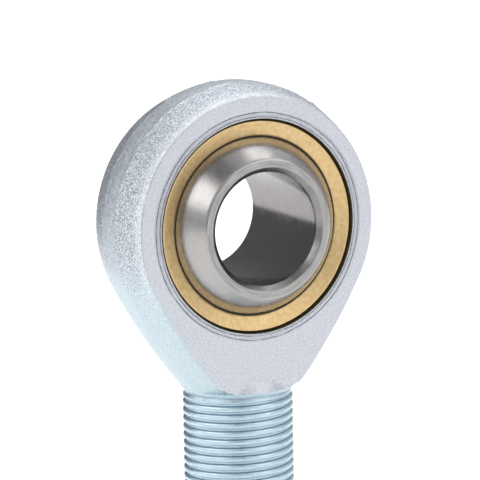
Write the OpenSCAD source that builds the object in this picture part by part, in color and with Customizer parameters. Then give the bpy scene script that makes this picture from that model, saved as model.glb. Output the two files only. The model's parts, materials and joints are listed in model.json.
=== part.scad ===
// Male rod end with a 20 mm bore, made as a forged eye on an M20 x 1.5 right-hand shank.
// A brass race is swaged into the eye. It holds a thin sliding liner and a bored steel ball.
// Millimetres. The origin is the ball's centre. The bore runs along Y, with the front face
// towards -Y, and the shank points down, along -Z.

/* [Ball] */
// Diameter of the bore through the ball
bore_d = 20; // [18:0.1:20.4]
// Diameter of the ball
ball_d = 34.925; // [34.6:0.025:35.1]
// Width of the ball between its two flat faces
ball_w = 25; // [24:0.1:26]
// Chamfer at each mouth of the bore
bore_chamfer = 0.9; // [0.3:0.1:1.1]

/* [Liner] */
// Thickness of the sliding liner between the ball and the race
liner_t = 0.25; // [0.2:0.05:0.4]
// Width of the liner, measured along the bore
liner_w = 15.4; // [12:0.2:15.4]
// Running gap on each side of the liner
running_gap = 0.02; // [0.01:0.01:0.05]

/* [Race] */
// Outside diameter of the race
race_d = 38; // [37.6:0.1:39]
// Width of the race at its outer edge
race_w = 17; // [16.4:0.1:17.4]
// Width of the race at its inner edge, next to the ball
race_inner_w = 15.5; // [15.3:0.1:16]
// Chamfer on the race's outer edges, which the eye's lips close over
race_chamfer = 0.5; // [0.3:0.1:0.8]

/* [Eye] */
// Outside diameter of the eye at its middle plane
eye_d = 50; // [48:0.5:52]
// Width of the eye and the neck between their flat faces
eye_w = 18; // [17.6:0.1:18.4]
// Radius of the barrel curve across the outside of the eye and the neck
barrel_r = 21; // [20:1:40]
// Radial clearance between each lip's rim and the race's edge
lip_gap = 0.15; // [0.05:0.05:0.3]
// Depth of the ring that the swaging tool leaves in each face
swage_depth = 0.15; // [0.05:0.05:0.3]

/* [Neck] */
// Radius of the long curve down each side of the neck
neck_side_r = 102; // [80:1:160]
// Angle below the horizontal at which each side leaves the round eye
neck_start_angle = 28.5; // [27:0.5:31]
// Height of the collar under the ball's centre
collar_drop = 29.6; // [29:0.1:30.4]
// Diameter of the collar where the neck meets the shank
collar_d = 20.2; // [19.9:0.1:21]

/* [Shank] */
// Distance from the ball's centre to the tip of the shank
shank_l = 78; // [50:1:100]
// Outside diameter of the thread
thread_d = 19.85; // [19.7:0.01:20]
// Pitch of the thread
thread_pitch = 1.5; // [1:0.25:2.5]

/* [Hidden] */
$fn = 120;

ball_r = ball_d / 2;
liner_in_r = ball_r + running_gap;
liner_out_r = liner_in_r + liner_t;
race_in_r = liner_out_r + running_gap;
race_rim_r = race_d / 2 - race_chamfer;

lip_r = race_rim_r + lip_gap;
lip_seat = race_w / 2 - (race_d / 2 - lip_r);
lip_flare = 0.2;
overcut = 1;
swage_in_r = race_d / 2 + 0.3;
swage_out_r = swage_in_r + 0.8;

// The race's faces slope in evenly from the rim to the edge that meets the ball.
race_in_edge_r = sqrt(race_in_r * race_in_r - race_inner_w * race_inner_w / 4);
race_slope = (race_w - race_inner_w) / 2 / (race_rim_r - race_in_edge_r);
// The race's outline starts inside the ball's sphere, which the bowl then cuts away.
race_start_r = ball_r - 2;
race_start_y = race_w / 2 - race_slope * (race_rim_r - race_start_r);

// The neck's sides cross the eye's curve at a small angle instead of only grazing it.
side_crossing = 0.1;
side_centre = neck_side_r - eye_d / 2 + side_crossing;
neck_top = -eye_d / 2 * sin(neck_start_angle);
// The cone that cuts the neck's corners widens by this much for each unit of height.
corner_slope = 1.5;

// A gentle flare leads from the neck's flat faces out to the wider collar.
flare_h = 2.6;
flare_top_r = eye_w / 2 - 0.5;
recess_r = thread_d / 2 - 0.3;
recess_edge = 0.3;
thread_top = -collar_drop - 1.6;
crest_flat = thread_pitch / 8;
thread_depth = 0.6134 * thread_pitch;
flank_h = thread_depth * tan(30);
root_flat = thread_pitch - crest_flat - 2 * flank_h;
tip_chamfer = thread_depth + 0.2;
turns = floor((thread_top + shank_l - tip_chamfer) / thread_pitch);

// Revolves a flat outline about the bore. The outline's x is the radius, its y is along the bore.
module about_bore() {
    rotate([90, 0, 0])
        rotate_extrude()
            children();
}

// Keeps the part of an outline that lies within a width, centred on the middle plane
module within_width(w) {
    intersection() {
        children();
        translate([0, -w / 2])
            square([neck_side_r * 2, w]);
    }
}

// A disc whose rim bulges with the barrel curve
module barrel_disc(r) {
    about_bore()
        within_width(eye_w)
            union() {
                translate([r - barrel_r, 0])
                    circle(r = barrel_r);
                translate([0, -eye_w / 2])
                    square([r - barrel_r / 2, eye_w]);
            }
}

// One side of the neck: a huge barrel disc that leaves the eye's rim almost without a kink
module neck_side(side) {
    translate([-side * side_centre * cos(neck_start_angle), 0, side_centre * sin(neck_start_angle)])
        barrel_disc(neck_side_r, $fn = 240);
}

// A cone that widens upwards from the collar and trims the neck's square corners
module corner_cone() {
    translate([0, 0, -collar_drop])
        cylinder(h = collar_drop, r1 = collar_d / 2, r2 = collar_d / 2 + corner_slope * collar_drop);
}

module neck() {
    intersection() {
        neck_side(1);
        neck_side(-1);
        corner_cone();
        translate([-eye_d / 2, -eye_w / 2, -collar_drop])
            cube([eye_d, eye_w, collar_drop + neck_top]);
    }
}

// One groove of the thread, as outline points from its upper crest to its lower crest
function groove(z) = [
    [thread_d / 2, z],
    [thread_d / 2 - thread_depth, z - flank_h],
    [thread_d / 2 - thread_depth, z - flank_h - root_flat],
    [thread_d / 2, z - 2 * flank_h - root_flat]
];

// The flare under the flat faces, the collar, the plain run-out, the thread and the pointed tip
module shank() {
    rotate_extrude()
        polygon(concat(
            [
                [0, -collar_drop + flare_h],
                [flare_top_r, -collar_drop + flare_h],
                [collar_d / 2, -collar_drop],
                [recess_r, -collar_drop - (collar_d / 2 - recess_r)],
                [recess_r, thread_top + recess_edge],
                [thread_d / 2, thread_top]
            ],
            [for (i = [0 : turns - 1]) each groove(thread_top - crest_flat - i * thread_pitch)],
            [
                [thread_d / 2, -shank_l + tip_chamfer],
                [thread_d / 2 - tip_chamfer, -shank_l],
                [0, -shank_l]
            ]
        ));
}

// The hole in the eye: a seat for the race, a lip over each chamfer, and a flared rim.
// It runs past both faces, so that it cuts them cleanly.
module race_seat() {
    past_face = eye_w / 2 + overcut;
    about_bore()
        polygon([
            [0, -past_face],
            [lip_r + lip_flare, -past_face],
            [lip_r, -race_w / 2],
            [race_d / 2, -lip_seat],
            [race_d / 2, lip_seat],
            [lip_r, race_w / 2],
            [lip_r + lip_flare, past_face],
            [0, past_face]
        ]);
}

// The shallow ring that the swaging tool presses into one face
module swage_ring(side) {
    about_bore()
        translate([swage_in_r, side * eye_w / 2 - swage_depth])
            square([swage_out_r - swage_in_r, 2 * swage_depth]);
}

module rod_end_body() {
    color("lightsteelblue")
        difference() {
            union() {
                barrel_disc(eye_d / 2);
                neck();
                shank();
            }
            race_seat();
            for (side = [-1, 1])
                swage_ring(side);
        }
}

module outer_race() {
    color("darkgoldenrod")
        about_bore()
            difference() {
                polygon([
                    [race_start_r, -race_start_y],
                    [race_rim_r, -race_w / 2],
                    [race_d / 2, race_chamfer - race_w / 2],
                    [race_d / 2, race_w / 2 - race_chamfer],
                    [race_rim_r, race_w / 2],
                    [race_start_r, race_start_y]
                ]);
                circle(r = race_in_r);
            }
}

module liner() {
    color("dimgray")
        about_bore()
            within_width(liner_w)
                difference() {
                    circle(r = liner_out_r);
                    circle(r = liner_in_r);
                }
}

module ball() {
    color("silver")
        about_bore()
            difference() {
                within_width(ball_w)
                    circle(r = ball_r);
                polygon([
                    [-1, -ball_w],
                    [bore_d / 2 + bore_chamfer + ball_w / 2, -ball_w],
                    [bore_d / 2, -ball_w / 2 + bore_chamfer],
                    [bore_d / 2, ball_w / 2 - bore_chamfer],
                    [bore_d / 2 + bore_chamfer + ball_w / 2, ball_w],
                    [-1, ball_w]
                ]);
            }
}

rod_end_body();
outer_race();
liner();
ball();
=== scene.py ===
# Rod end bearing: forged zinc-plated eye with a rolled thread, brass race, sliding liner and polished ball.
# Sizes in the dictionaries are in millimetres, and each mesh is turned to metres when it is finished.
import json
import math
import bpy
import bmesh
from mathutils import Matrix, Vector, noise


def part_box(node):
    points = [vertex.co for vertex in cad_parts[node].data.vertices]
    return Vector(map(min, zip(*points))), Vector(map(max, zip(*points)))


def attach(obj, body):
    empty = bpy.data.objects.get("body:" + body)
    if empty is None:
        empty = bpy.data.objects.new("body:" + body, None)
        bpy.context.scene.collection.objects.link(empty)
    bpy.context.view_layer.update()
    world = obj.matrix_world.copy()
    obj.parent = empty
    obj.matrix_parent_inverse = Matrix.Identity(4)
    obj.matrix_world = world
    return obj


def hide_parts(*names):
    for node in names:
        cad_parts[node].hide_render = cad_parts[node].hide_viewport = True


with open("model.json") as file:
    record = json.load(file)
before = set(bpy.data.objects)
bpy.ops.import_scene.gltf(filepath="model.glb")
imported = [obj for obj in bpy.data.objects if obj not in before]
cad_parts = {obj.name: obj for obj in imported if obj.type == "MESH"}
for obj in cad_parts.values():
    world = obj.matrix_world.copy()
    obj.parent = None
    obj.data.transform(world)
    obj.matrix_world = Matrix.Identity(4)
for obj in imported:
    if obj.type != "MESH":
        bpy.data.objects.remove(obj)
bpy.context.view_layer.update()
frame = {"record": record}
print("stage: frame loaded")

mm = 0.001
fullTurn = 2 * math.pi
boreAxis = Vector((0, 1, 0))
shankAxis = Vector((0, 0, 1))
mounts = {mount["name"]: mount for mount in frame["record"]["mounts"]}
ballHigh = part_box("ball")[1] / mm
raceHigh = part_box("outer_race")[1] / mm
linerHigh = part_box("liner")[1] / mm
bodyLow, bodyHigh = (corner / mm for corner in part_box("rod_end_body"))


def repeatTurned(bm, axis, angle, times):  # doubles the mesh again and again until it goes all the way round
    for _ in range(times):
        copy = bmesh.ops.duplicate(bm, geom=bm.verts[:] + bm.edges[:] + bm.faces[:])["geom"]
        verts = [item for item in copy if isinstance(item, bmesh.types.BMVert)]
        bmesh.ops.rotate(bm, verts=verts, cent=(0, 0, 0), matrix=Matrix.Rotation(angle, 3, axis))
        bmesh.ops.remove_doubles(bm, verts=bm.verts, dist=1e-4)
        angle *= 2


def spinOutline(outline, steps):  # turns closed (radius, y) points into a ring round the bore
    bm = bmesh.new()
    verts = [bm.verts.new((radius, y, 0)) for radius, y in outline]
    edges = [bm.edges.new(pair) for pair in zip(verts, verts[1:] + verts[:1])]
    bmesh.ops.spin(bm, geom=verts + edges, cent=(0, 0, 0), axis=boreAxis, dvec=(0, 0, 0),
                   angle=fullTurn / 8, steps=steps // 8, use_merge=False, use_duplicate=False)
    repeatTurned(bm, boreAxis, fullTurn / 8, 3)
    return bm


def smoothStep(low, high, value):
    t = min(max((value - low) / (high - low), 0), 1)
    return t * t * (3 - 2 * t)


def finishPiece(name, bm, body, node, materials, sharpAngle):
    bmesh.ops.recalc_face_normals(bm, faces=bm.faces)
    bmesh.ops.scale(bm, vec=(mm, mm, mm), verts=bm.verts)
    mesh = bpy.data.meshes.new(name)
    bm.to_mesh(mesh)
    bm.free()
    for material in materials:
        mesh.materials.append(material)
    mesh.shade_smooth()
    mesh.set_sharp_from_angle(angle=math.radians(sharpAngle))
    piece = bpy.data.objects.new(name, mesh)
    bpy.context.collection.objects.link(piece)
    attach(piece, body)
    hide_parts(node)
    print("stage:", name, len(mesh.vertices), "points")


def linearColour(hexCode):  # sRGB hex to the linear values that a shader wants
    parts = [int(hexCode[i:i + 2], 16) / 255 for i in (1, 3, 5)]
    return tuple(c / 12.92 if c <= 0.04045 else ((c + 0.055) / 1.055) ** 2.4 for c in parts) + (1.0,)


def addNode(tree, kind, inputs=None, **settings):  # each input is given a value, or another node's output
    node = tree.nodes.new("ShaderNode" + kind)
    for key, value in settings.items():
        setattr(node, key, value)
    for socket, value in (inputs or {}).items():
        if isinstance(value, bpy.types.NodeSocket):
            tree.links.new(value, node.inputs[socket])
        else:
            node.inputs[socket].default_value = value
    return node


def newMaterial(name):
    material = bpy.data.materials.new(name)
    material.use_nodes = True
    material.node_tree.nodes.clear()
    return material, material.node_tree


# A Mix node has several inputs and outputs of each name. These are its colour ones.
mixFirst, mixSecond, mixResult = 6, 7, 2
# Nearly all of a noise pattern lies between these two greys.
noiseRange = (0.3, 0.7)


def millimetres(tree):  # the piece's own coordinates, in millimetres
    coordinates = addNode(tree, "TexCoord")
    inputs = {0: coordinates.outputs["Object"], "Scale": 1 / mm}
    return addNode(tree, "VectorMath", inputs, operation="SCALE").outputs["Vector"]


def distanceFrom(tree, point, axis):
    flat = addNode(tree, "VectorMath", {0: point, 1: [1 - part for part in axis]}, operation="MULTIPLY")
    return addNode(tree, "VectorMath", {0: flat.outputs["Vector"]}, operation="LENGTH").outputs["Value"]


def aroundAxis(tree, point, axis, along, across):  # noise with these cells per radian and per mm
    flat = addNode(tree, "VectorMath", {0: point, 1: [1 - part for part in axis]}, operation="MULTIPLY")
    unit = addNode(tree, "VectorMath", {0: flat.outputs["Vector"]}, operation="NORMALIZE")
    ring = addNode(tree, "VectorMath", {0: unit.outputs["Vector"], "Scale": along}, operation="SCALE")
    height = addNode(tree, "VectorMath", {0: point, 1: axis}, operation="DOT_PRODUCT")
    inputs = {0: distanceFrom(tree, point, axis), 1: height.outputs["Value"]}
    both = addNode(tree, "Math", inputs, operation="ADD")
    lift = addNode(tree, "VectorMath", {0: axis, "Scale": both.outputs[0]}, operation="SCALE")
    lifted = addNode(tree, "VectorMath", {0: lift.outputs["Vector"], "Scale": across}, operation="SCALE")
    inputs = {0: ring.outputs["Vector"], 1: lifted.outputs["Vector"]}
    vector = addNode(tree, "VectorMath", inputs, operation="ADD").outputs["Vector"]
    inputs = {"Vector": vector, "Scale": 1, "Detail": 3, "Roughness": 0.6}
    return addNode(tree, "TexNoise", inputs).outputs["Fac"]


def twoTone(tree, pattern, colours, between=noiseRange):  # first colour to second as a pattern rises
    inputs = {"Value": pattern, "From Min": between[0], "From Max": between[1]}
    share = addNode(tree, "MapRange", inputs).outputs["Result"]
    inputs = {"Factor": share, mixFirst: linearColour(colours[0]), mixSecond: linearColour(colours[1])}
    return addNode(tree, "Mix", inputs, data_type="RGBA").outputs[mixResult]


def stackBumps(tree, *layers):  # each layer is a pattern and its depth from the darkest grey to the lightest
    normal = None
    for pattern, depth in layers:
        inputs = {"Height": pattern, "Distance": depth * mm}
        if normal:
            inputs["Normal"] = normal
        normal = addNode(tree, "Bump", inputs).outputs["Normal"]
    return normal


def shade(tree, inputs):
    shader = addNode(tree, "BsdfPrincipled", inputs)
    addNode(tree, "OutputMaterial", {"Surface": shader.outputs["BSDF"]})


def shadeMetal(tree, colour, pattern, roughness, normal):  # the pattern spreads the roughness over its range
    inputs = {"Value": pattern, "From Min": noiseRange[0], "From Max": noiseRange[1],
              "To Min": roughness[0], "To Max": roughness[1]}
    rough = addNode(tree, "MapRange", inputs).outputs["Result"]
    shade(tree, {"Metallic": 1.0, "Base Color": colour, "Roughness": rough, "Normal": normal})


# The long lens stands to the left of the bore's axis and a little above it.
cameraPlace = dict(azimuth=-28.24, elevation=9.6, roll=-1.04, distance=543.1, lens=229.3,
                   aim=(1.03, 0, -3.70))


def facing(azimuth, elevation):  # unit vector from the object towards a direction given in degrees
    turn, rise = math.radians(azimuth), math.radians(elevation)
    return Vector((math.sin(turn) * math.cos(rise), -math.cos(turn) * math.cos(rise), math.sin(rise)))


def makeCamera(place):
    roll = math.radians(place["roll"])
    back = facing(place["azimuth"], place["elevation"])
    level = (-back).cross(shankAxis).normalized()
    upright = level.cross(-back)
    right = level * math.cos(roll) + upright * math.sin(roll)
    up = upright * math.cos(roll) - level * math.sin(roll)
    data = bpy.data.cameras.new("camera")
    data.lens = place["lens"]
    data.sensor_width = 36
    data.clip_start, data.clip_end = 0.01, 20
    camera = bpy.data.objects.new("camera", data)
    bpy.context.collection.objects.link(camera)
    spot = (Vector(place["aim"]) + back * place["distance"]) * mm
    camera.matrix_world = Matrix.Translation(spot) @ Matrix((right, up, back)).transposed().to_4x4()
    bpy.context.scene.camera = camera


makeCamera(cameraPlace)
print("stage: camera")

# Drop-forged steel, zinc plated and clear passivated: grey-blue, sparkling where the hammered grain turns
# to the light. The real grain is about 0.1 mm, too fine to show, so it is drawn at 0.3 mm.
forgedLook = dict(
    # the last colour, edge, is a painted highlight near the flat faces
    upper=("#7d8794", "#e9eff5"), middle=("#a5aeb9", "#e2e8ef"), lower=("#b1c2cb", "#d0dfe6"), edge="#f2f6fa",
    roughness=(0.3, 0.48),
    contrast=(0.42, 0.58),      # greys of the grain at which the colours reach their two ends
    grain=0.12, grainSize=0.3,
    dents=0.2, dentSize=1.6,
    neckHeights=(-16, -2),      # the neck's smoother skin turns into the eye's between these heights
    calmNeck=0.2,               # share of the grain that is left on the neck
    middleReach=(2.84, 2.98),   # ragged end of the band between the two creases
    raggedPerMm=0.9,
    highlightReach=(6.5, 8.6),        # painted highlight: the skin pales between these distances from the middle plane
    highlightShare=0.45,
)


def makeForgedZinc(look):
    material, tree = newMaterial("forgedZinc")
    point = millimetres(tree)
    part = addNode(tree, "SeparateXYZ", {"Vector": point}).outputs
    grain = addNode(tree, "TexNoise", {"Vector": point, "Scale": 1 / look["grainSize"], "Detail": 5,
                                       "Roughness": 0.8}).outputs["Fac"]
    dents = addNode(tree, "TexNoise", {"Vector": point, "Scale": 1 / look["dentSize"],
                                       "Detail": 2}).outputs["Fac"]
    low, high = look["neckHeights"]
    onEye = addNode(tree, "MapRange", {"Value": part["Z"], "From Min": low, "From Max": high},
                    interpolation_type="SMOOTHSTEP").outputs["Result"]
    calm = addNode(tree, "MapRange", {"Value": onEye, "To Min": look["calmNeck"]}).outputs["Result"]
    calmed = addNode(tree, "Math", {0: grain, 1: calm}, operation="MULTIPLY").outputs[0]
    normal = stackBumps(tree, (dents, look["dents"]), (calmed, look["grain"]))

    off = addNode(tree, "Math", {0: part["Y"]}, operation="ABSOLUTE").outputs[0]
    wander = addNode(tree, "TexNoise", {"Vector": point, "Scale": look["raggedPerMm"], "Detail": 4,
                                        "Roughness": 0.6}).outputs["Fac"]
    ragged = addNode(tree, "Math", {0: wander, 1: off}, operation="ADD").outputs[0]
    low, high = look["middleReach"]
    nearMiddle = addNode(tree, "MapRange", {"Value": ragged, "From Min": low, "From Max": high,
                                            "To Min": 1, "To Max": 0}).outputs["Result"]
    # painted highlight: towards each flat face the skin pales to the edge colour
    low, high = look["highlightReach"]
    highlightNearFaces = addNode(tree, "MapRange", {"Value": off, "From Min": low, "From Max": high,
                                         "To Max": look["highlightShare"]}).outputs["Result"]

    upper, middle, lower = (twoTone(tree, grain, look[key], look["contrast"])
                            for key in ("upper", "middle", "lower"))
    inputs = {"Factor": highlightNearFaces, mixFirst: upper, mixSecond: linearColour(look["edge"])}
    highlighted = addNode(tree, "Mix", inputs, data_type="RGBA").outputs[mixResult]
    inputs = {"Factor": nearMiddle, mixFirst: highlighted, mixSecond: middle}
    onRing = addNode(tree, "Mix", inputs, data_type="RGBA").outputs[mixResult]
    inputs = {"Factor": onEye, mixFirst: lower, mixSecond: onRing}
    colour = addNode(tree, "Mix", inputs, data_type="RGBA").outputs[mixResult]
    shadeMetal(tree, colour, grain, look["roughness"], normal)
    return material


# The same plating over a milled face: paler, with a faint lavender cast and an even tooth. The real tooth
# is about 0.05 mm and is drawn at 0.36 mm so that it shows.
milledLook = dict(
    colours=("#a6a9b2", "#dcdfe6"), patches=("#d6d8e2", "#c9cdd4"), roughness=(0.32, 0.46),
    contrast=(0.36, 0.64),
    grain=0.08, grainSize=0.36, patchesPerMm=0.35,
    chatter=0.25,               # depth of the marks that the swaging tool leaves round the race
    chatterEnd=(20.2, 20.5),    # they fade out between these radii
)


def makeMilledZinc(look):
    material, tree = newMaterial("milledZinc")
    point = millimetres(tree)
    grain = addNode(tree, "TexNoise", {"Vector": point, "Scale": 1 / look["grainSize"], "Detail": 3,
                                       "Roughness": 0.7}).outputs["Fac"]
    patches = addNode(tree, "TexNoise", {"Vector": point, "Scale": look["patchesPerMm"],
                                         "Detail": 3}).outputs["Fac"]
    low, high = look["chatterEnd"]
    inside = addNode(tree, "MapRange", {"Value": distanceFrom(tree, point, boreAxis), "From Min": low,
                                        "From Max": high, "To Min": 1, "To Max": 0}).outputs["Result"]
    marks = aroundAxis(tree, point, boreAxis, 16, 5)
    chatter = addNode(tree, "Math", {0: marks, 1: inside}, operation="MULTIPLY").outputs[0]
    inputs = {"Factor": 0.5, mixFirst: twoTone(tree, patches, look["patches"], (0, 1)),
              mixSecond: twoTone(tree, grain, look["colours"], look["contrast"])}
    colour = addNode(tree, "Mix", inputs, data_type="RGBA").outputs[mixResult]
    normal = stackBumps(tree, (grain, look["grain"]), (chatter, look["chatter"]))
    shadeMetal(tree, colour, grain, look["roughness"], normal)
    return material


# The same plating over a rolled thread: smooth and colder in colour, with streaks drawn out along the thread
# and a band of painted shade where each flank turns into its crest.
rolledLook = dict(
    colours=("#cbdfe8", "#b5ccd8"), roughness=(0.26, 0.38),
    threadShadeColour="#788296",
    shadeBandRadii=(9.42, 9.56, 9.7),   # the painted shade starts, is darkest and has nearly gone
    shadeBandShare=0.85,
    streak=0.05, fleck=0.08, flecksPerMm=2.2,
)


def makeRolledZinc(look):
    material, tree = newMaterial("rolledZinc")
    point = millimetres(tree)
    streaks = aroundAxis(tree, point, shankAxis, 4, 5)
    flecks = addNode(tree, "TexNoise", {"Vector": point, "Scale": look["flecksPerMm"], "Detail": 3,
                                        "Roughness": 0.6}).outputs["Fac"]
    radius = distanceFrom(tree, point, shankAxis)
    # painted shade: darker in a band of radii on each flank
    start, darkest, end = look["shadeBandRadii"]
    rising = addNode(tree, "MapRange", {"Value": radius, "From Min": start, "From Max": darkest},
                     interpolation_type="SMOOTHSTEP").outputs["Result"]
    falling = addNode(tree, "MapRange", {"Value": radius, "From Min": darkest, "From Max": end,
                                         "To Min": look["shadeBandShare"], "To Max": 0},
                      interpolation_type="SMOOTHSTEP").outputs["Result"]
    shadeBand = addNode(tree, "Math", {0: rising, 1: falling}, operation="MULTIPLY").outputs[0]
    inputs = {"Factor": shadeBand, mixFirst: twoTone(tree, streaks, look["colours"]),
              mixSecond: linearColour(look["threadShadeColour"])}
    colour = addNode(tree, "Mix", inputs, data_type="RGBA").outputs[mixResult]
    normal = stackBumps(tree, (flecks, look["fleck"]), (streaks, look["streak"]))
    shadeMetal(tree, colour, flecks, look["roughness"], normal)
    return material


# Cast and turned brass: warm yellow and satin, with faint tool lines and radial rubbing marks.
brassLook = dict(colours=("#e0c595", "#cdae7a"), roughness=(0.27, 0.4), line=0.02, rub=0.03, patchesPerMm=1.2)


def makeTurnedBrass(look):
    material, tree = newMaterial("turnedBrass")
    point = millimetres(tree)
    lines = aroundAxis(tree, point, boreAxis, 12, 5)
    rubs = aroundAxis(tree, point, boreAxis, 50, 0.7)
    patches = addNode(tree, "TexNoise", {"Vector": point, "Scale": look["patchesPerMm"], "Detail": 4,
                                         "Roughness": 0.6}).outputs["Fac"]
    normal = stackBumps(tree, (lines, look["line"]), (rubs, look["rub"]))
    shadeMetal(tree, twoTone(tree, patches, look["colours"]), rubs, look["roughness"], normal)
    return material


# Woven fluoropolymer liner: a nearly black brown, matt.
linerLook = dict(colours=("#1e120a", "#2c1c12"), roughness=0.65, weave=0.01, weavePerMm=3)


def makeSlidingLiner(look):
    material, tree = newMaterial("slidingLiner")
    weave = addNode(tree, "TexNoise", {"Vector": millimetres(tree), "Scale": look["weavePerMm"],
                                       "Detail": 2}).outputs["Fac"]
    shade(tree, {"Base Color": twoTone(tree, weave, look["colours"], (0, 1)), "Roughness": look["roughness"],
                 "Normal": stackBumps(tree, (weave, look["weave"]))})
    return material


# Through-hardened bearing steel, a neutral grey that mirrors the room more sharply the finer it is worked.
# The ball is ground and polished, its faces and chamfers are turned, and its bore is honed. Real tool lines
# are about 0.1 mm apart, and these are drawn 0.2 to 0.3 mm apart. The key across is their number per mm.
groundLook = dict(colours=("#b6b4b2", "#adabaa"), roughness=(0.23, 0.3), line=0.002, across=5)
turnedLook = dict(colours=("#b4b4b3", "#8f8e8e"), roughness=(0.3, 0.38), line=0.05, across=3)
chamferLook = dict(colours=("#9b9a99", "#838281"), roughness=(0.26, 0.34), line=0.03, across=6)
honedLook = dict(colours=("#939090", "#858281"), roughness=(0.14, 0.24), line=0.01, across=5)


def makeSteel(name, look):
    material, tree = newMaterial(name)
    point = millimetres(tree)
    lines = aroundAxis(tree, point, boreAxis, 3, look["across"])
    patches = addNode(tree, "TexNoise", {"Vector": point, "Scale": 0.6, "Detail": 3}).outputs["Fac"]
    normal = stackBumps(tree, (lines, look["line"]))
    shadeMetal(tree, twoTone(tree, lines, look["colours"]), patches, look["roughness"], normal)
    return material


# Painted shade, dull and half metallic: dark in the crevice where the lip meets the race, grey in the swaging
# lines, and brown where the milled face ends.
creviceShadeLook = dict(colours=("#3a351f", "#565036"), roughness=0.6)
swageLineShadeLook = dict(colours=("#85858a", "#adabaa"), roughness=0.5)
faceEdgeShadeLook = dict(colours=("#7b7161", "#a39b8c"), roughness=0.55)


def makePaintedShade(name, look):
    material, tree = newMaterial(name)
    speck = addNode(tree, "TexNoise", {"Vector": millimetres(tree), "Scale": 2, "Detail": 2}).outputs["Fac"]
    shade(tree, {"Base Color": twoTone(tree, speck, look["colours"], (0, 1)), "Roughness": look["roughness"],
                 "Metallic": 0.3})
    return material


forgedZinc = makeForgedZinc(forgedLook)
milledZinc = makeMilledZinc(milledLook)
rolledZinc = makeRolledZinc(rolledLook)
turnedBrass = makeTurnedBrass(brassLook)
slidingLiner = makeSlidingLiner(linerLook)
groundSteel = makeSteel("groundSteel", groundLook)
turnedSteel = makeSteel("turnedSteel", turnedLook)
chamferSteel = makeSteel("chamferSteel", chamferLook)
honedSteel = makeSteel("honedSteel", honedLook)
paintedCreviceShade = makePaintedShade("paintedCreviceShade", creviceShadeLook)
swageLineShade = makePaintedShade("swageLineShade", swageLineShadeLook)
faceEdgeShade = makePaintedShade("faceEdgeShade", faceEdgeShadeLook)
print("stage: materials")

eye = dict(
    radius=bodyHigh.x,          # outside radius of the eye at its middle plane
    width=18.0,                 # between the two flat faces
    edgeDrop=2.03,              # how far the outside has fallen in at the flat faces
    creaseAt=2.4,               # distance of the forging crease from the middle plane
    creaseDrop=0.1,
    creaseSlope=0.2,            # slope just outside the crease, where the drafted side starts
    seatRadius=raceHigh.x,      # hole that holds the race
    lipRadius=18.9,             # lips swaged over the race
    swageLines=((19.35, 0.055, 0.13), (20.1, 0.065, 0.17)),     # radius, half width and depth of each line
    plainFrom=20.26,            # the plain face starts at this radius
    insideRadius=21.0,          # the hole, the lips and the swaging lines are nearer to the bore than this
    grooveDepth=0.1,            # witness line where the machined face meets the forged side
    edgeDepth=0.3,              # everything deeper than this below the face belongs to the forged side
    steps=384,
)


def outsideDrop(y):  # how far the outside falls in at a distance from the middle plane
    out, half = abs(y), eye["width"] / 2
    if out < eye["creaseAt"]:
        return eye["creaseDrop"] * (out / eye["creaseAt"]) ** 1.25
    t = min(out, half) - eye["creaseAt"]
    span = half - eye["creaseAt"]
    bend = (eye["edgeDrop"] - eye["creaseDrop"] - eye["creaseSlope"] * span) / span ** 2
    return eye["creaseDrop"] + eye["creaseSlope"] * t + bend * t * t


def eyeOutline():  # from the seat over the lip and the face to the outside, then mirrored to the other face
    half = eye["width"] / 2
    seat, lip = eye["seatRadius"], eye["lipRadius"]
    edge = eye["radius"] - eye["edgeDrop"]
    points = [(seat, 0), (seat, 3), (seat, 6), (seat, 7.9), (seat - 0.06, 8.05)]
    points += [(lip + 0.03, 8.2), (lip, 8.45), (lip + 0.02, 8.75), (lip + 0.07, 8.95),
               (lip + 0.13, half - 0.01), (lip + 0.2, half)]
    for line, width, depth in eye["swageLines"]:
        profile = [(1.7, 0.004), (1, 0.03), (0.3, depth)]
        points += [(line - width * out, half - deep) for out, deep in profile]
        points += [(line + width * out, half - deep) for out, deep in reversed(profile)]
    rings = 18
    first, last = eye["plainFrom"], edge - 0.3
    points += [(last - (last - first) * (1 - i / rings) ** 1.6, half) for i in range(rings + 1)]
    groove = eye["grooveDepth"]
    points += [(edge - 0.16, half - 0.003), (edge - 0.05, half - 0.04), (edge - groove * 0.9, half - 0.13),
               (edge - groove * 0.8, half - 0.22), (edge + 0.06, half - 0.34)]
    rows = 24
    span = half - 0.5
    heights = sorted({eye["creaseAt"]} | {span * (1 - i / rows) for i in range(rows)}, reverse=True)
    points += [(eye["radius"] - outsideDrop(y), y) for y in heights]
    mirrored = [(radius, -y) for radius, y in reversed(points)]
    return points + [(eye["radius"], 0)] + mirrored[:-1]


neck = dict(
    sideRadius=102.0,           # long curve down each side
    startAngle=28.5,            # degrees below the horizontal where the side leaves the round eye
    bottom=29.6,                # height of the collar below the ball's centre
    collarRadius=10.1,
    collarBlend=3.2,            # height over which the flat sides turn into the round collar
    flareSlope=0.46,            # how fast the collar's flare falls back into the flat faces
    cornerSlope=1.5,            # how fast the trimmed corners widen upwards
    soft=0.35,                  # width of the soft turn between the flare and the flat faces
)


def sideDistance(angle, drop):  # from the ball's centre to the neck's outline, at an angle below level
    reach = neck["sideRadius"] - eye["radius"]
    along = -reach * math.cos(angle - math.radians(neck["startAngle"]))
    radius = neck["sideRadius"] - drop
    side = along + math.sqrt(along * along - reach * reach + radius * radius)
    return min(side, neck["bottom"] / math.sin(angle))


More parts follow.
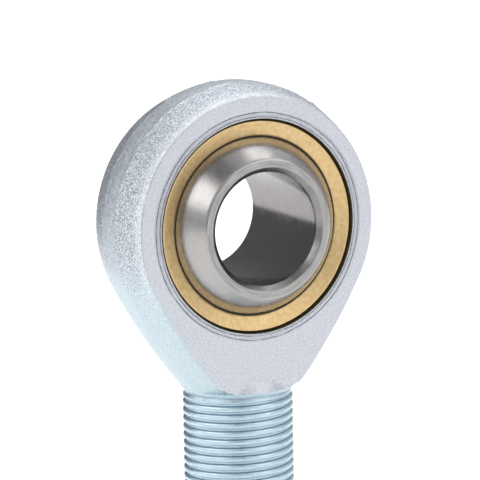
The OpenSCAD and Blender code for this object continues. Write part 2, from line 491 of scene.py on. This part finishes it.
def pullNeck(bm):  # draws the lower part of the ring down into the neck
    start = math.radians(neck["startAngle"])
    first = eye["plainFrom"]
    edge = eye["radius"] - eye["edgeDrop"]
    for vert in bm.verts:
        radius = math.hypot(vert.co.x, vert.co.z)
        angle = math.atan2(-vert.co.z, abs(vert.co.x))
        if angle <= start or radius < first - 1e-3:
            continue
        onFace = abs(vert.co.y) > eye["width"] / 2 - eye["edgeDepth"]
        drop = eye["edgeDrop"] if onFace else outsideDrop(vert.co.y)
        here = edge if onFace else eye["radius"] - drop
        there = sideDistance(angle, drop)
        stretched = first + (radius - first) * (there - first) / (here - first)
        new = stretched if onFace else radius + there - here
        vert.co.x *= new / radius
        vert.co.z *= new / radius


def roundCollar(bm):  # blends the neck's flat-sided bottom into a round collar
    collar, bottom, soft = neck["collarRadius"], -neck["bottom"], neck["soft"]
    for vert in bm.verts:
        z = vert.co.z
        radius = math.hypot(vert.co.x, vert.co.y)
        if z > bottom + neck["collarBlend"] or radius < 1:
            continue
        flare = collar - neck["flareSlope"] * (z - bottom)
        corner = collar + neck["cornerSlope"] * (z - bottom)
        wanted = flare + (radius - flare + math.sqrt((radius - flare) ** 2 + soft ** 2)) / 2
        wanted = min(wanted, corner + soft * 0.2) if z > bottom + 1e-3 else collar
        vert.co.x *= wanted / radius
        vert.co.y *= wanted / radius


forging = dict(
    waves=(0.035, 5.0),         # height and size of the slow unevenness of the forged skin
    dents=(0.022, 1.3),         # height and size of the smaller dents
    sink=0.03,                  # the skin lies this far in, so that its bumps stay inside the full size
    ridge=0.13,                 # how far the torn crease stands up at its worst
    ridgeWidth=0.3,
    stray=((0.35, 2.2), (0.2, 0.8)),    # how far the crease wanders, and over what length
    strayWidth=1.2,
    neckHeights=(-14, 0),       # the neck is smoother than the eye, which is fully rough above these heights
    neckRoughness=0.35,
    collarFade=(1.5, 5),        # it is smooth this far above the collar, and fully uneven this far above it
    rimFade=(0.3, 1.2),         # the same, for the distance from the flat faces
    seed=4.0,
)


def roughenSides(bm):  # the forged skin is never quite even, and its crease is slightly torn
    bm.normal_update()
    half, collar = eye["width"] / 2, -neck["bottom"]
    seed = Vector((forging["seed"], 0, 0))
    rimStart, rimEnd = forging["rimFade"]
    collarStart, collarEnd = forging["collarFade"]
    rough = forging["neckRoughness"]
    for vert in bm.verts:
        x, y, z = vert.co
        radius = math.hypot(x, z)
        if radius < eye["insideRadius"] or abs(y) > half - rimStart or z < collar + collarStart:
            continue
        fade = smoothStep(half - rimStart, half - rimEnd, abs(y))
        fade *= smoothStep(collar + collarStart, collar + collarEnd, z)
        calm = rough + (1 - rough) * smoothStep(*forging["neckHeights"], z)
        rise = sum(height * noise.noise(Vector((x, y, z)) / size + seed)
                   for height, size in (forging["waves"], forging["dents"]))
        torn = max(noise.noise(Vector((x, 0, z)) / 1.1) + 0.5 * noise.noise(Vector((x, 9, z)) / 3), 0)
        fromCrease = abs(y) - eye["creaseAt"]
        near = math.exp(-(fromCrease / forging["ridgeWidth"]) ** 2)
        stray = sum(reach * noise.noise(Vector((x, y, z)) / size) for reach, size in forging["stray"])
        vert.co.y += stray * math.exp(-(fromCrease / forging["strayWidth"]) ** 2)
        diagonal = 1 + 5 * (x * z / radius ** 2) ** 2       # the crease is torn most on the diagonals
        rise = (rise * calm + forging["ridge"] * diagonal * torn * near * calm) * fade
        vert.co += vert.normal * (rise - forging["sink"] * fade)


swaging = dict(
    wander=((0.11, 4), (0.05, 30)),     # how far the lines wander, with the fineness of the wander
    unevenness=0.55,                    # share of the depth that varies along a line
)


def waverSwage(bm):  # the swaging lines wander a little and vary in depth
    half = eye["width"] / 2
    inner, outer = eye["swageLines"][0][0] - 0.05, eye["swageLines"][1][0]
    for vert in bm.verts:
        x, y, z = vert.co
        radius = math.hypot(x, z)
        if not (inner - 0.15 < radius < outer + 0.15 and abs(y) > half - eye["edgeDepth"]):
            continue
        turn = Vector((x, 0, z)) / radius
        side = Vector((0, 5 if radius > (inner + outer) / 2 else 0, 0))     # the two lines wander apart
        vert.co += turn * sum(reach * noise.noise(turn * fine + side) for reach, fine in swaging["wander"])
        varied = 0.5 + noise.noise(turn * 14 + Vector((0, radius * 3, 0)))
        vert.co.y -= math.copysign((half - abs(y)) * swaging["unevenness"] * varied, y)


thread = dict(
    radius=mounts["shank_thread"]["dims"]["r_mm"],
    pitch=1.5,
    top=30.6,                   # first groove below the ball's centre
    tip=-bodyLow.z,
    tipInset=0.2,               # how far the tip's flat end is inside the roots
    recess=0.3,                 # how far the plain run-out is below the crests
    recessReach=0.3,            # the run-out comes down to this far above the first groove
    fade=(0.35, -0.9),          # the thread rises out of the run-out between these heights about its top
    phase=1.72,                 # the helix starts this many pitches above its top
    depth=0.62,
    wear=0.02, wearSize=2.5,
    steps=72,
    # share of the pitch from the middle of the root, with the share of the depth climbed there
    shape=((0.0, 0.0), (0.09, 0.03), (0.13, 0.3), (0.165, 0.56), (0.23, 0.8), (0.32, 0.93), (0.41, 0.985)),
    crestDrop=0.012,            # the middle of the crest stays this far inside the full radius
)


def threadOutline():  # one pitch of the thread from root to root, as (radius, height) points going down
    r, p, depth = thread["radius"], thread["pitch"], thread["depth"]
    half = [(r - depth + depth * climbed, -p * share) for share, climbed in thread["shape"]]
    mirrored = [(radius, -p - z) for radius, z in reversed(half)]
    return half + [(r - thread["crestDrop"], -p * 0.5)] + mirrored


def cutThread(bm):  # trims the helix to the run-out above and to the tip below
    for height, side in ((-thread["top"] + thread["recessReach"], 1), (-thread["tip"], -1)):
        bmesh.ops.bisect_plane(bm, geom=bm.verts[:] + bm.edges[:] + bm.faces[:], dist=1e-5,
                               plane_co=(0, 0, height), plane_no=(0, 0, side), clear_outer=True)


def makeThread():
    bm = bmesh.new()
    p = thread["pitch"]
    turns = math.ceil((thread["tip"] - thread["top"]) / p) + 3
    startHeight = -thread["top"] + p * thread["phase"]
    verts = [bm.verts.new((radius, 0, startHeight + z)) for radius, z in threadOutline()]
    edges = [bm.edges.new(pair) for pair in zip(verts, verts[1:])]
    bmesh.ops.spin(bm, geom=verts + edges, cent=(0, 0, 0), axis=-shankAxis, dvec=(0, 0, -p / thread["steps"]),
                   angle=fullTurn, steps=thread["steps"], use_merge=False, use_duplicate=False)
    oneTurn = bm.verts[:] + bm.edges[:] + bm.faces[:]
    for turn in range(1, turns):
        copy = bmesh.ops.duplicate(bm, geom=oneTurn)["geom"]
        copyVerts = [item for item in copy if isinstance(item, bmesh.types.BMVert)]
        bmesh.ops.translate(bm, verts=copyVerts, vec=(0, 0, -p * turn))
    bmesh.ops.remove_doubles(bm, verts=bm.verts, dist=1e-3)
    cutThread(bm)
    recess = thread["radius"] - thread["recess"]
    tipRadius = thread["radius"] - thread["depth"] - thread["tipInset"]
    fadeStart, fadeEnd = (height - thread["top"] for height in thread["fade"])
    for vert in bm.verts:
        x, y, z = vert.co
        radius = math.hypot(x, y)
        fade = smoothStep(fadeStart, fadeEnd, z)
        wearAndShadeNoise = thread["wear"] * (noise.noise(Vector((x, y, z * 2)) / thread["wearSize"]) - 0.5)
        wanted = recess + (radius + wearAndShadeNoise - recess) * fade
        wanted = min(wanted, tipRadius + max(z + thread["tip"], 0))
        vert.co.x *= wanted / radius
        vert.co.y *= wanted / radius
    return bm


def openEdges(bm, height):
    return [edge for edge in bm.edges if edge.is_boundary
            and all(abs(vert.co.z - height) <= 0.01 for vert in edge.verts)]


def addRunOut(bm):  # replaces the neck's flat bottom with the collar's lower edge and the plain run-out
    bottom = -neck["bottom"]
    flat = [face for face in bm.faces if all(abs(vert.co.z - bottom) < 1e-3 for vert in face.verts)]
    bmesh.ops.delete(bm, geom=flat, context="FACES")
    recess = thread["radius"] - thread["recess"]
    loop = openEdges(bm, bottom)
    for radius, drop in ((neck["collarRadius"] - 0.03, 0.1), (recess + 0.06, 0.5), (recess, 0.6)):
        made = bmesh.ops.extrude_edge_only(bm, edges=loop)["geom"]
        loop = [item for item in made if isinstance(item, bmesh.types.BMEdge)]
        for vert in (item for item in made if isinstance(item, bmesh.types.BMVert)):
            here = math.hypot(vert.co.x, vert.co.y)
            vert.co.x *= radius / here
            vert.co.y *= radius / here
            vert.co.z = bottom - drop
    return bottom - drop


def joinThread(bm, runOutEnd):
    threadMesh = bpy.data.meshes.new("thread")
    threadPart = makeThread()
    threadPart.to_mesh(threadMesh)
    threadPart.free()
    bm.from_mesh(threadMesh)
    bpy.data.meshes.remove(threadMesh)
    upper = openEdges(bm, runOutEnd)
    lower = openEdges(bm, -thread["top"] + thread["recessReach"])
    bmesh.ops.bridge_loops(bm, edges=upper + lower)
    bmesh.ops.holes_fill(bm, edges=openEdges(bm, -thread["tip"]), sides=0)


# Painted shade in the swaging lines and along the edge of the milled face, broken up by noise.
shadeMarks = dict(
    depths=(0.05, 0.24),        # painted shade lies between these depths below the face
    sizes=(2.5, 0.7),           # size of the patches of painted shade, and of the breaks in them
    lineLevel=-0.1,             # how much of the swaging lines is left without painted shade
    rimLevel=-0.2,              # how much of the edge of the face is left without painted shade
    rimHeights=(-3, -13),       # the painted shade along that edge fades out below the eye
)


def showsPaintedShade(x, y, z):  # whether painted shade shows here, in the swaging lines and along the edge of the eye's face
    large, small = shadeMarks["sizes"]
    wearAndShadeNoise = noise.noise(Vector((x, y, z)) / large) + 0.6 * noise.noise(Vector((x, y, z)) / small)
    if math.hypot(x, z) < eye["insideRadius"]:
        return wearAndShadeNoise > shadeMarks["lineLevel"]
    return wearAndShadeNoise > smoothStep(*shadeMarks["rimHeights"], z) * 1.6 + shadeMarks["rimLevel"]


def bodyMaterial(x, y, z):
    radius, depth = math.hypot(x, z), eye["width"] / 2 - abs(y)
    shallow, deep = shadeMarks["depths"]
    if z < -neck["bottom"] - 0.05:
        return rolledZinc
    # painted shade in the crevice between the lip and the race
    if radius < eye["lipRadius"] + 0.1:
        return paintedCreviceShade
    # painted shade in the swaging lines and along the edge of the face
    if shallow < depth < deep and showsPaintedShade(x, y, z):
        return swageLineShade if radius < eye["insideRadius"] else faceEdgeShade
    return milledZinc if depth < 0.17 else forgedZinc


def makeBody():
    bm = spinOutline(eyeOutline(), eye["steps"])
    pullNeck(bm)
    roughenSides(bm)
    waverSwage(bm)
    roundCollar(bm)
    joinThread(bm, addRunOut(bm))
    materials = [forgedZinc, milledZinc, rolledZinc, paintedCreviceShade, swageLineShade, faceEdgeShade]
    for face in bm.faces:
        face.material_index = materials.index(bodyMaterial(*face.calc_center_median()))
    print("stage: forged body, open edges", sum(edge.is_boundary for edge in bm.edges))
    finishPiece("forged_body", bm, "housing", "rod_end_body", materials, 32)


makeBody()

liner = dict(innerRadius=ballHigh.x + 0.02, outerRadius=linerHigh.x, width=linerHigh.y * 2, steps=256)


def makeLiner():
    half, rows = liner["width"] / 2, 20
    outline = []
    for radius, order in ((liner["innerRadius"], 1), (liner["outerRadius"], -1)):
        tilt = math.asin(half / radius)
        outline += [(radius * math.cos(tilt * i / rows * order), radius * math.sin(tilt * i / rows * order))
                    for i in range(-rows, rows + 1)]
    finishPiece("sliding_liner", spinOutline(outline, liner["steps"]), "liner", "liner",
                [slidingLiner], 40)


race = dict(
    radius=raceHigh.x, width=raceHigh.y * 2,
    innerWidth=15.5,            # the faces slope in to this width at the ball
    chamfer=0.5,
    gap=0.02,                   # between the race and the liner
    innerLip=0.21,              # the race's edge reaches down to this far outside the liner's bore
    steps=256,
)


def makeRace():
    inner = liner["outerRadius"] + race["gap"]
    half, lowHalf = race["width"] / 2, race["innerWidth"] / 2
    rim, chamfer = race["radius"] - race["chamfer"], race["chamfer"]
    tilt = math.asin(lowHalf / inner)
    faceStart, faceEnd = rim - 0.1, inner * math.cos(tilt) + 0.05
    faceRows, bowlRows = 10, 24
    points = [(race["radius"], 0), (race["radius"], half - chamfer - 0.04),
              (race["radius"] - 0.03, half - chamfer + 0.02), (rim + 0.05, half - 0.05),
              (rim - 0.02, half - 0.015)]
    points += [(faceStart + (faceEnd - faceStart) * i / faceRows,
                half - (half - lowHalf) * (0.03 + 0.96 * i / faceRows)) for i in range(faceRows + 1)]
    lip = liner["innerRadius"] + race["innerLip"]
    points += [(math.cos(tilt - back) * lip, math.sin(tilt - back) * lip) for back in (0.004, 0.012)]
    points += [(math.cos(tilt * i / bowlRows) * inner, math.sin(tilt * i / bowlRows) * inner)
               for i in range(bowlRows - 1, -1, -1)]
    outline = points + [(radius, -y) for radius, y in reversed(points[1:-1])]
    bm = spinOutline(outline, race["steps"])
    materials = [turnedBrass, paintedCreviceShade]
    for face in bm.faces:
        x, y, z = face.calc_center_median()
        # the race's chamfer, in the gap under the lip, gets the painted crevice shade
        if math.hypot(x, z) > rim + 0.04:
            face.material_index = materials.index(paintedCreviceShade)
    finishPiece("brass_race", bm, "housing", "outer_race", materials, 40)


ball = dict(
    radius=ballHigh.x, width=ballHigh.y * 2,
    bore=mounts["ball_bore"]["dims"]["r_mm"],
    chamfer=(ballHigh.y * 2 - mounts["ball_bore"]["dims"]["length_mm"]) / 2,
    edgeBreak=0.2,              # rounding between the sphere and the flat faces
    steps=256,
)


def makeBall():
    r, half, bore, chamfer, ease = (ball[key] for key in ("radius", "width", "bore", "chamfer", "edgeBreak"))
    half /= 2
    tilt = math.asin((half - ease) / r)
    flatEdge = math.sqrt(r * r - half * half) - ease * 0.6
    mouth, boreHalf = bore + chamfer, half - chamfer - 0.05
    sphereRows, boreRows = 60, 12
    points = [(r * math.cos(tilt * i / sphereRows), r * math.sin(tilt * i / sphereRows))
              for i in range(sphereRows + 1)]
    points += [(flatEdge + ease * 0.35, half - ease * 0.25), (flatEdge, half), ((flatEdge + mouth) / 2, half),
               (mouth + 0.05, half), (mouth, half - 0.015), (mouth - 0.05, half - 0.06),
               (bore + 0.05, half - chamfer + 0.05), (bore + 0.01, half - chamfer)]
    points += [(bore, boreHalf * (1 - i / boreRows)) for i in range(boreRows + 1)]
    outline = points + [(radius, -y) for radius, y in reversed(points[1:-1])]
    bm = spinOutline(outline, ball["steps"])
    materials = [groundSteel, turnedSteel, chamferSteel, honedSteel]
    for face in bm.faces:
        x, y, z = face.calc_center_median()
        if math.hypot(x, z) >= flatEdge + 0.02:
            continue
        if abs(y) > half - 0.03:
            face.material_index = materials.index(turnedSteel)
        else:
            face.material_index = materials.index(chamferSteel if abs(y) > boreHalf else honedSteel)
    finishPiece("steel_ball", bm, "ball", "ball", materials, 30)


makeRace()
makeLiner()
makeBall()

# In the studio, distances and sizes are in metres. A soft box has its direction from the object in degrees,
# and a brightness where white paper is 1.
studio = dict(
    floorHeight=bodyLow.z * mm,
    floorSize=8.0,
    worldGrey=0.56,
)
softBoxes = dict(
    left=dict(azimuth=-97, elevation=37, distance=1.3, size=(2.0, 0.7), glow=1.7),
    frontRight=dict(azimuth=28, elevation=20, distance=1.3, size=(0.95, 1.1), glow=0.75),
    overhead=dict(azimuth=82, elevation=68, distance=1.2, size=(0.45, 0.5), glow=1.5),
    frontTop=dict(azimuth=32, elevation=46, distance=1.3, size=(1.7, 0.42), glow=1.0),
    leftLow=dict(azimuth=-120, elevation=4, distance=1.3, size=(0.6, 0.6), glow=0.55),
    back=dict(azimuth=176, elevation=55, distance=1.6, size=(2.2, 0.9), glow=0.42),
)
# a gridded box above the floor behind the object keeps the floor white
floorBox = dict(place=(0.45, 1.25, 1.2), size=(2.4, 2.0), glow=1.15, spread=112)
# grey cards that only reflections see: they darken the bore and the metal that faces the viewer
greyCards = dict(
    behindBore=dict(azimuth=-178, elevation=21.5, distance=0.366, size=(0.56, 0.41)),
    besideViewer=dict(azimuth=-28, elevation=-4, distance=0.9, size=(0.5, 0.34)),
    aboveViewer=dict(azimuth=-80, elevation=67, distance=0.6, size=(0.60, 0.24)),
    behindLeft=dict(azimuth=-146, elevation=50, distance=0.7, size=(0.42, 0.34)),
)
uprightBelow = 45   # a card at a lower elevation than this stands upright instead of tilting to the object


def makeLight(name, place, size, glow):
    data = bpy.data.lights.new(name, "AREA")
    data.shape = "RECTANGLE"
    data.size, data.size_y = size
    data.energy = glow * math.pi * size[0] * size[1]
    light = bpy.data.objects.new(name, data)
    light.location = place
    light.visible_camera = False
    bpy.context.collection.objects.link(light)
    return light


def makeSoftBox(name, azimuth, elevation, distance, size, glow):
    towards = facing(azimuth, elevation)
    light = makeLight(name, towards * distance, size, glow)
    light.rotation_euler = towards.to_track_quat("Z", "Y").to_euler()


def stageMesh(name, bm, material):
    mesh = bpy.data.meshes.new(name)
    bm.to_mesh(mesh)
    bm.free()
    mesh.materials.append(material)
    piece = bpy.data.objects.new(name, mesh)
    bpy.context.collection.objects.link(piece)
    return piece


def makeCard(name, azimuth, elevation, distance, size, material):
    bm = bmesh.new()
    bmesh.ops.create_grid(bm, x_segments=1, y_segments=1, size=0.5)
    bmesh.ops.scale(bm, vec=(size[0], size[1], 1), verts=bm.verts)
    tilt = elevation if elevation > uprightBelow else 0
    turned = facing(azimuth, tilt).to_track_quat("Z", "Y").to_matrix()
    bmesh.ops.rotate(bm, verts=bm.verts, cent=(0, 0, 0), matrix=turned)
    bmesh.ops.translate(bm, verts=bm.verts, vec=facing(azimuth, elevation) * distance)
    card = stageMesh(name, bm, material)
    card.visible_camera = False
    card.visible_shadow = False
    card.visible_diffuse = False


def makeMatt(name, colour, roughness):  # paper for the floor, felt for the cards
    material, tree = newMaterial(name)
    shade(tree, {"Base Color": linearColour(colour), "Roughness": roughness, "Specular IOR Level": 0.1})
    return material


def makeStudio():
    bm = bmesh.new()
    bmesh.ops.create_grid(bm, x_segments=2, y_segments=2, size=studio["floorSize"] / 2)
    bmesh.ops.translate(bm, vec=(0, 0, studio["floorHeight"]), verts=bm.verts)
    stageMesh("floor", bm, makeMatt("palePaper", "#fafafa", 0.9))
    for name, box in softBoxes.items():
        makeSoftBox(name, **box)
    gridded = makeLight("floorBox", floorBox["place"], floorBox["size"], floorBox["glow"])
    gridded.data.spread = math.radians(floorBox["spread"])
    felt = makeMatt("greyFelt", "#777777", 0.95)
    for name, card in greyCards.items():
        makeCard(name, **card, material=felt)
    world = bpy.data.worlds.new("studio")
    world.use_nodes = True
    world.node_tree.nodes["Background"].inputs["Color"].default_value = (studio["worldGrey"],) * 3 + (1,)
    bpy.context.scene.world = world
    bpy.context.scene.view_settings.view_transform = "Standard"
    print("stage: studio")


makeStudio()
